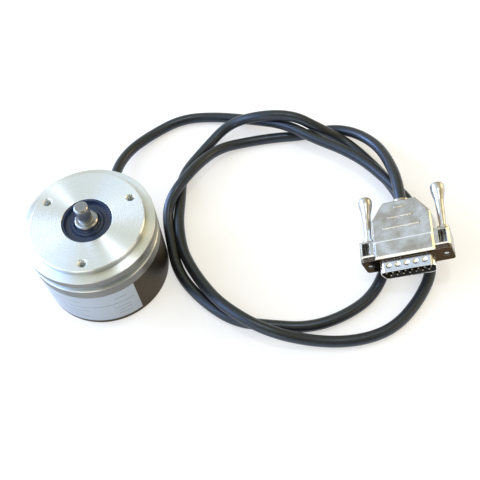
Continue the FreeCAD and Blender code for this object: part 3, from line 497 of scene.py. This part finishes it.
def drawn_tinplate():
    """Tin-plated steel, deep drawn: grey on the skirt's flat top; bright below it, in the dimples and on the
    sides, a painted highlight; dark and matt inside the skirt, a painted shade; dull brown on the flange plate, a
    painted reflection of dark brown surroundings."""
    edge_mm = 0.2
    ripple_mm = 0.9
    depth_mm = 0.01
    inside_rough = 0.6
    material, tree = start_material("drawn_tinplate")
    here = add(tree, "TexCoord").outputs["Object"]
    rounded, wear_and_highlight = edges_with_wear_and_highlight(tree, here, edge_mm)
    ripple = add(tree, "TexNoise", {"Vector": here, "Scale": scale_of(ripple_mm), "Detail": 2.0})
    grey = add(tree, "Mix", {
        "Factor": ripple.outputs["Fac"], "A": linear("#c4cad2"), "B": linear("#d8dde3"),
    }, data_type="RGBA")
    # Dull brown of the flange plate and its specular tint below: a painted reflection of dark brown surroundings.
    plate_painted_reflection = add(tree, "Mix", {
        "Factor": ripple.outputs["Fac"], "A": linear("#453b32"), "B": linear("#584b40"),
    }, data_type="RGBA")
    # Below the skirt's flat top, in the dimples and on the sides, the near white tone is a painted highlight.
    on_top = beyond(tree, here, plug_up, skirt_half_height - dimple_from)
    outside_with_painted_highlight = add(tree, "Mix", {
        "Factor": on_top, "A": linear("#f2f2f2"), "B": grey.outputs["Result"],
    }, data_type="RGBA")
    # Inside the skirt the tone is dark, a painted shade.
    out = add(tree, "VectorMath", {0: here, 1: plug_at}, operation="SUBTRACT")
    looks = add(tree, "NewGeometry")
    outward = add(tree, "VectorMath", {
        0: out.outputs["Vector"], 1: looks.outputs["Normal"],
    }, operation="DOT_PRODUCT")
    shaded_inside = add(tree, "Math", {0: outward.outputs["Value"], 1: 0.0}, operation="LESS_THAN")
    plate = beyond(tree, here, plug_back, plate_y)
    skirt = add(tree, "Mix", {
        "Factor": shaded_inside.outputs["Value"], "A": outside_with_painted_highlight.outputs["Result"], "B": linear("#5c5a57"),
    }, data_type="RGBA")
    tone = add(tree, "Mix", {
        "Factor": plate, "A": skirt.outputs["Result"], "B": plate_painted_reflection.outputs["Result"],
    }, data_type="RGBA")
    # Edges lightened towards near white: partly wear, partly a painted highlight.
    colour = add(tree, "Mix", {
        "Factor": wear_and_highlight, "A": tone.outputs["Result"], "B": linear("#f4f4f2"),
    }, data_type="RGBA")
    burnished = add(tree, "MapRange", {"Value": ripple.outputs["Fac"], "To Min": 0.14, "To Max": 0.26})
    rough = add(tree, "Mix", {
        "Factor": shaded_inside.outputs["Value"], "A": burnished.outputs["Result"], "B": inside_rough,
    })
    bump = add(tree, "Bump", {"Height": ripple.outputs["Fac"], "Distance": depth_mm * MM, "Normal": rounded})
    tint = add(tree, "Mix", {
        "Factor": plate, "A": linear("#ffffff"), "B": linear("#bcb6b0"),
    }, data_type="RGBA")
    surface(tree, {
        "Base Color": colour.outputs["Result"], "Specular Tint": tint.outputs["Result"], "Metallic": 1.0,
        "Roughness": rough.outputs["Result"], "Normal": bump.outputs["Normal"],
    })
    return material


def gold_flashed_bronze():
    """Turned bronze pins: pale rounded tips, a painted highlight, and dark stems behind them, a painted shade."""
    streak_mm = 0.4
    material, tree = start_material("gold_flashed_bronze")
    here = add(tree, "TexCoord").outputs["Object"]
    streak = add(tree, "TexNoise", {"Vector": here, "Scale": scale_of(streak_mm), "Detail": 2.0})
    highlit_tip = add(tree, "Mix", {
        "Factor": streak.outputs["Fac"], "A": linear("#b8b5ac"), "B": linear("#d2cfc7"),
    }, data_type="RGBA")
    shaded_stem = add(tree, "Mix", {
        "Factor": streak.outputs["Fac"], "A": linear("#241f17"), "B": linear("#362f22"),
    }, data_type="RGBA")
    # Pale tips are a painted highlight and the dark stems behind pin_tip_y a painted shade.
    colour = add(tree, "Mix", {
        "Factor": beyond(tree, here, plug_back, pin_tip_y), "A": highlit_tip.outputs["Result"],
        "B": shaded_stem.outputs["Result"],
    }, data_type="RGBA")
    rough = add(tree, "MapRange", {"Value": streak.outputs["Fac"], "To Min": 0.25, "To Max": 0.4})
    surface(tree, {
        "Base Color": colour.outputs["Result"], "Metallic": 1.0, "Roughness": rough.outputs["Result"],
    })
    return material


def moulded_plastic(name, dark, light, rough, grain_mm):
    """Plastic with a fine grain in its skin, which breaks up the sheen. Real grain is finer than 0.1 mm and
    is drawn coarser to show in the render."""
    depth_mm = 0.01
    material, tree = start_material(name)
    here = add(tree, "TexCoord").outputs["Object"]
    grain = add(tree, "TexNoise", {"Vector": here, "Scale": scale_of(grain_mm), "Detail": 2.0})
    colour = add(tree, "Mix", {
        "Factor": grain.outputs["Fac"], "A": linear(dark), "B": linear(light),
    }, data_type="RGBA")
    roughness = add(tree, "MapRange", {"Value": grain.outputs["Fac"], "To Min": rough[0], "To Max": rough[1]})
    bump = add(tree, "Bump", {"Height": grain.outputs["Fac"], "Distance": depth_mm * MM})
    surface(tree, {
        "Base Color": colour.outputs["Result"], "Roughness": roughness.outputs["Result"], "IOR": 1.5,
        "Normal": bump.outputs["Normal"],
    })
    return material


def clear_glass():
    """Float glass of the code disc and reticle: clear, with a slight green cast."""
    streak_mm = 2
    material, tree = start_material("float_glass")
    here = add(tree, "TexCoord").outputs["Object"]
    streak = add(tree, "TexNoise", {"Vector": here, "Scale": scale_of(streak_mm)})
    colour = add(tree, "Mix", {
        "Factor": streak.outputs["Fac"], "A": linear("#dfe8e2"), "B": linear("#eef5f0"),
    }, data_type="RGBA")
    surface(tree, {
        "Base Color": colour.outputs["Result"], "Roughness": 0.02, "IOR": 1.52, "Transmission Weight": 1.0,
    })
    return material


def make_materials():
    """One material for each slot of the record."""
    return {
        # The rim's dark walls are a painted reflection of the room's dark side.
        "turned_aluminium": turned_metal(
            "turned_aluminium", faced=("#dfe8ee", "#e9f1f6"), turned=("#767775", "#8e8f8c"),
            rough=(0.25, 0.31), feed_mm=0.5, groove_mm=0.0008, anisotropy=0.95,
            rim_from_mm=shoulder_in_r, rim_groove_mm=0.02),
        # The cover's dark brown tones are a painted reflection of dark brown surroundings, darker still on its
        # walls.
        "cover_aluminium": turned_metal(
            "satin_turned_aluminium", faced=("#544c40", "#655c50"), turned=("#372e20", "#473c2b"),
            rough=(0.2, 0.32), feed_mm=0.4, groove_mm=0.002, anisotropy=0.6),
        "shaft_steel": turned_metal(
            "ground_stainless_steel", faced=("#7e8184", "#a5a8ab"), turned=("#bcc1c8", "#d9dde3"),
            rough=(0.12, 0.24), feed_mm=0.3, groove_mm=0.003, anisotropy=0.2),
        "seal_rubber": moulded_nitrile(),
        "label_film": printed_label_film(),
        "cable_sheath": extruded_pvc(),
        # The hood's olive and grey patches are a painted reflection of the room.
        "hood_plating": plated_metal(
            "nickel_plated_die_casting", "#a6a295", "#c8caca", rough=(0.2, 0.3),
            cloud_mm=5, ripple_mm=0.9, depth_mm=0.03, highlit_step_y=hood_step_y),
        "screw_nickel": plated_metal(
            "nickel_plated_steel", "#b6b8b8", "#cdcecf", rough=(0.28, 0.38),
            cloud_mm=2, ripple_mm=0.6, depth_mm=0.008),
        "ring_nickel": plated_metal(
            "nickel_plated_spring_steel", "#a39f93", "#c2beb3", rough=(0.18, 0.28),
            cloud_mm=2, ripple_mm=0.6, depth_mm=0.008),
        "shell_tin": drawn_tinplate(),
        "gland_nickel": plated_metal(
            "nickel_plated_brass", "#a8a293", "#c9c3b5", rough=(0.16, 0.26),
            cloud_mm=3, ripple_mm=0.6, depth_mm=0.008),
        "pin_gold": gold_flashed_bronze(),
        "zinc_steel": plated_metal(
            "zinc_plated_steel", "#9aa0a6", "#b9bec4", rough=(0.22, 0.36),
            cloud_mm=2, ripple_mm=0.5, depth_mm=0.01),
        "spring_steel": plated_metal(
            "phosphated_spring_steel", "#2b2a28", "#3b3936", rough=(0.4, 0.55),
            cloud_mm=2, ripple_mm=0.4, depth_mm=0.01),
        "bearing_steel": plated_metal(
            "honed_bearing_steel", "#b4b5b7", "#cfd0d2", rough=(0.08, 0.16),
            cloud_mm=2, ripple_mm=0.5, depth_mm=0.002),
        "cage_steel": plated_metal(
            "pressed_steel", "#8d8b86", "#a9a7a1", rough=(0.25, 0.4),
            cloud_mm=2, ripple_mm=0.5, depth_mm=0.01),
        "hub_brass": plated_metal(
            "turned_brass", "#b58d3f", "#cda659", rough=(0.2, 0.32),
            cloud_mm=2, ripple_mm=0.4, depth_mm=0.006),
        "disc_glass": clear_glass(),
        "black_moulding": moulded_plastic(
            "moulded_black_polyester", "#3c4045", "#4c5056", rough=(0.4, 0.55), grain_mm=0.3),
        "led_resin": moulded_plastic(
            "cast_red_epoxy", "#7c1d16", "#a8332a", rough=(0.1, 0.2), grain_mm=1.0),
        "chip_black": moulded_plastic(
            "moulded_epoxy_package", "#15161a", "#202127", rough=(0.5, 0.65), grain_mm=0.25),
        "board_laminate": moulded_plastic(
            "glass_epoxy_laminate", "#0e4026", "#155a36", rough=(0.35, 0.5), grain_mm=0.5),
        "wire_insulation": moulded_plastic(
            "extruded_wire_insulation", "#8f8a3c", "#aca656", rough=(0.35, 0.5), grain_mm=0.5),
    }


def dress_cad_nodes(materials):
    """Give every CAD node the material of its slot."""
    for entry in frame["record"]["subparts"]:
        mesh = nodes[entry["node"]].data
        mesh.materials.clear()
        mesh.materials.append(materials[entry["material_slot"]])


# Pieces added to the CAD model: threads and the rim's shoulder

def add_piece(name, shape, material, body):
    """Turn a shape into a piece that rides on a body."""
    bmesh.ops.recalc_face_normals(shape, faces=shape.faces)
    for face in shape.faces:
        face.smooth = True
    mesh = bpy.data.meshes.new(name)
    shape.to_mesh(mesh)
    shape.free()
    mesh.set_sharp_from_angle(angle=math.radians(sharp_from))
    mesh.materials.append(material)
    piece = bpy.data.objects.new(name, mesh)
    bpy.context.scene.collection.objects.link(piece)
    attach(piece, body)


def thread_ridge(shape, base, along, pitch, length, root_r, crest_r):
    """Add a helical ridge with a triangular section round the axis that starts at base."""
    side = along.orthogonal().normalized()
    other = along.cross(side)
    foot = ridge_foot * pitch
    section = ((root_r, -foot), (crest_r, 0.0), (root_r, foot))
    count = round(length / pitch * thread_steps)
    rings = []
    for k in range(count + 1):
        turn = 2 * math.pi * k / thread_steps
        out = side * math.cos(turn) + other * math.sin(turn)
        rise = pitch * k / thread_steps
        rings.append([shape.verts.new(base + out * r * MM + along * (rise + h) * MM) for r, h in section])
    for first, second in zip(rings, rings[1:]):
        for i in range(3):
            shape.faces.new((first[i], first[(i + 1) % 3], second[(i + 1) % 3], second[i]))
    shape.faces.new(rings[0])
    shape.faces.new(reversed(rings[-1]))


def make_threads(materials):
    """Threads in the face's holes, on the housing, and on each of the plug's screws."""
    shape = bmesh.new()
    for azimuth in hole_azimuths:
        a = math.radians(azimuth)
        hole = Vector((hole_circle_r * math.cos(a), hole_circle_r * math.sin(a), 0)) * MM
        base = hole + Vector((0, 0, face_z - hole_thread_depth * MM))
        thread_ridge(shape, base, Vector((0, 0, -1)), **hole_thread)
    add_piece("hole_threads", shape, materials["turned_aluminium"], "housing")
    for side, ear in (("left", ear_left), ("right", ear_right)):
        shape = bmesh.new()
        base = ear + plug_back * (screw_thread_y * MM - screw_joint_y)
        thread_ridge(shape, base, plug_back, **screw_thread)
        add_piece(side + "_screw_thread", shape, materials["screw_nickel"], side + "_screw")


def make_shoulder(material):
    """A ring that falls outwards from the collar, and more steeply towards the rim's edge."""
    shape = bmesh.new()
    low = shoulder_z - shoulder_sink
    section = (
        (shoulder_in_r, low), (shoulder_in_r, shoulder_z + shoulder_rise),
        (shoulder_bend_r, shoulder_z + shoulder_bend_rise),
        (shoulder_out_r, shoulder_z + shoulder_sink), (shoulder_out_r, low),
    )
    profile = [shape.verts.new((r * MM, 0, z * MM)) for r, z in section]
    outline = [shape.edges.new((a, b)) for a, b in zip(profile, profile[1:] + profile[:1])]
    bmesh.ops.spin(shape, geom=profile + outline, cent=(0, 0, 0), axis=(0, 0, 1), angle=2 * math.pi,
                   steps=shoulder_steps, use_merge=True)
    add_piece("rim_shoulder", shape, material, "housing")


# Studio

def direction(azimuth, elevation):
    """Unit vector towards an azimuth (from +X towards +Y) and an elevation, both in degrees."""
    a, e = math.radians(azimuth), math.radians(elevation)
    return Vector((math.cos(a) * math.cos(e), math.sin(a) * math.cos(e), math.sin(e)))


def area_lamp(name, azimuth, elevation, distance, size, colour, watts):
    """Softbox that looks at the middle of the object."""
    data = bpy.data.lights.new(name, "AREA")
    data.shape = "RECTANGLE"
    data.size, data.size_y = size
    data.color = linear(colour)[:3]
    data.energy = watts
    lamp = bpy.data.objects.new(name, data)
    bpy.context.scene.collection.objects.link(lamp)
    towards = direction(azimuth, elevation)
    lamp.location = lamp_target * MM + towards * distance
    lamp.rotation_euler = towards.to_track_quat("Z", "Y").to_euler()


def make_floor():
    """White paper, lifted towards full white for the camera, reflections and glass; it keeps the shadows."""
    mesh = bpy.data.meshes.new("floor")
    corners = [(x * floor_half, y * floor_half, 0) for x, y in ((-1, -1), (1, -1), (1, 1), (-1, 1))]
    mesh.from_pydata(corners, [], [(0, 1, 2, 3)])
    floor = bpy.data.objects.new("floor", mesh)
    bpy.context.scene.collection.objects.link(floor)
    material, tree = start_material("white_paper")
    ray = add(tree, "LightPath")
    direct = add(tree, "Math", {
        0: ray.outputs["Is Camera Ray"], 1: ray.outputs["Is Glossy Ray"],
    }, operation="MAXIMUM")
    seen = add(tree, "Math", {
        0: direct.outputs["Value"], 1: ray.outputs["Is Transmission Ray"],
    }, operation="MAXIMUM")
    lift = add(tree, "Math", {0: seen.outputs["Value"], 1: floor_lift}, operation="MULTIPLY")
    surface(tree, {
        "Base Color": linear("#c4c6c9"), "Roughness": 0.9, "Specular IOR Level": 0.0,
        "Emission Color": linear("#ffffff"), "Emission Strength": lift.outputs["Value"],
    })
    mesh.materials.append(material)


def make_world():
    """Room light: pale low down, above it cool and bright towards the window, then golden, then dim and
    brown away from it."""
    world = bpy.data.worlds.new("room")
    world.use_nodes = True
    bpy.context.scene.world = world
    tree = world.node_tree
    tree.nodes.clear()
    out = add(tree, "TexCoord").outputs["Generated"]
    towards = add(tree, "VectorMath", {0: out, 1: direction(*window_at)}, operation="DOT_PRODUCT")
    far = add(tree, "MapRange", {"Value": towards.outputs["Value"], "From Min": -0.3, "From Max": 0.65})
    near = add(tree, "MapRange", {"Value": towards.outputs["Value"], "From Min": 0.76, "From Max": 0.88})
    warm = add(tree, "Mix", {
        "Factor": far.outputs["Result"], "A": linear("#4d3c28"), "B": linear("#e2d5a0"),
    }, data_type="RGBA")
    high = add(tree, "Mix", {
        "Factor": near.outputs["Result"], "A": warm.outputs["Result"], "B": linear("#ecf4fc"),
    }, data_type="RGBA")
    height = add(tree, "SeparateXYZ", {"Vector": out})
    low = add(tree, "MapRange", {"Value": height.outputs["Z"], "From Min": 0.2, "From Max": 0.14})
    colour = add(tree, "Mix", {
        "Factor": low.outputs["Result"], "A": high.outputs["Result"], "B": linear("#f4f4f3"),
    }, data_type="RGBA")
    background = add(tree, "Background", {"Color": colour.outputs["Result"], "Strength": room_strength})
    add(tree, "OutputWorld", {"Surface": background.outputs["Background"]})


def make_studio():
    """Floor, room light and lamps."""
    make_floor()
    make_world()
    for lamp in lamps:
        area_lamp(*lamp)
    bpy.context.scene.view_settings.view_transform = "Standard"


make_camera()
slot_materials = make_materials()
make_cable(slot_materials["cable_sheath"])
dress_cad_nodes(slot_materials)
make_threads(slot_materials)
make_shoulder(slot_materials["turned_aluminium"])
make_studio()
